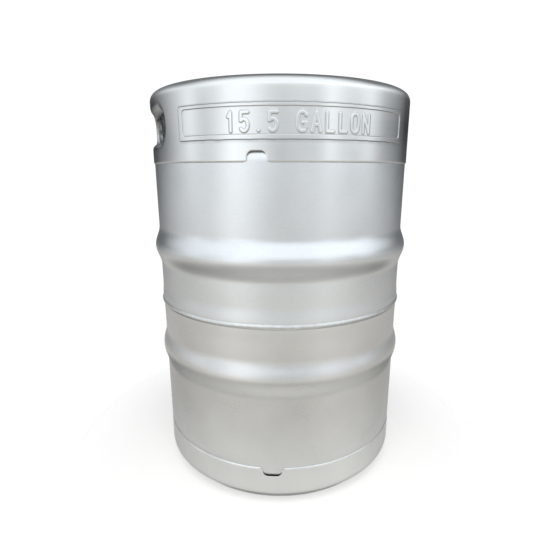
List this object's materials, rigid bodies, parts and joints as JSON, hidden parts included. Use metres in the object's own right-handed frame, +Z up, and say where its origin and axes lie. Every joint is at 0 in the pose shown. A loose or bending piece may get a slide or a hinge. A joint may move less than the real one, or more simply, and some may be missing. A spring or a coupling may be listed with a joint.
{
  "type": "beer keg",
  "caption": "Cylindrical stainless steel beer keg with rolling ribs, a rolled rim with two hand holes, a curved foot ring and a sprung coupler valve in the top.",
  "frame": {"origin": "centre of the foot ring at floor level", "axes": "+Z up along the keg's axis, -Y is the front with the embossed panel, the hand holes face +X and -X"},
  "size_m": [0.4089, 0.409, 0.592],
  "materials": {
    "shell_steel": "satin pickled",
    "chime_steel": "fine brushed",
    "weld_steel": "as welded, pickled",
    "machined_steel": "turned",
    "tube_steel": "drawn tube",
    "spring_steel": "drawn wire",
    "ball_steel": "polished",
    "seal_rubber": "matte moulded"
  },
  "bodies": {
    "keg": {"upper_shell": "shell_steel", "lower_shell": "shell_steel", "girth_weld": "weld_steel", "top_chime": "chime_steel", "top_chime_weld": "weld_steel", "top_chime_seam": "weld_steel", "bottom_chime": "chime_steel", "bottom_chime_weld": "weld_steel", "bottom_chime_seam": "weld_steel", "neck": "machined_steel", "neck_weld": "weld_steel", "neck_gasket": "seal_rubber", "retaining_ring": "spring_steel", "spear_body": "machined_steel", "spring_cage": "machined_steel", "spring_cup": "machined_steel", "gas_spring": "spring_steel"},
    "spear_tube": {"valve_seal": "seal_rubber", "seal_washer": "machined_steel", "tube_head": "machined_steel", "down_tube": "tube_steel", "ball_spring": "spring_steel", "ball_spring_seat": "machined_steel"},
    "beer_ball": {"valve_ball": "ball_steel"}
  },
  "joints": [
    {"name": "gas_valve", "type": "slide", "parent": "keg", "child": "spear_tube", "axis": [0, 0, -1], "range_m": [0, 0.007], "stiffness_N_per_m": 6000, "springref_m": -0.012, "deforming": ["gas_spring"]},
    {"name": "beer_valve", "type": "slide", "parent": "spear_tube", "child": "beer_ball", "axis": [0, 0, -1], "range_m": [0, 0.006], "stiffness_N_per_m": 300, "springref_m": -0.005, "deforming": ["ball_spring"]}
  ]
}
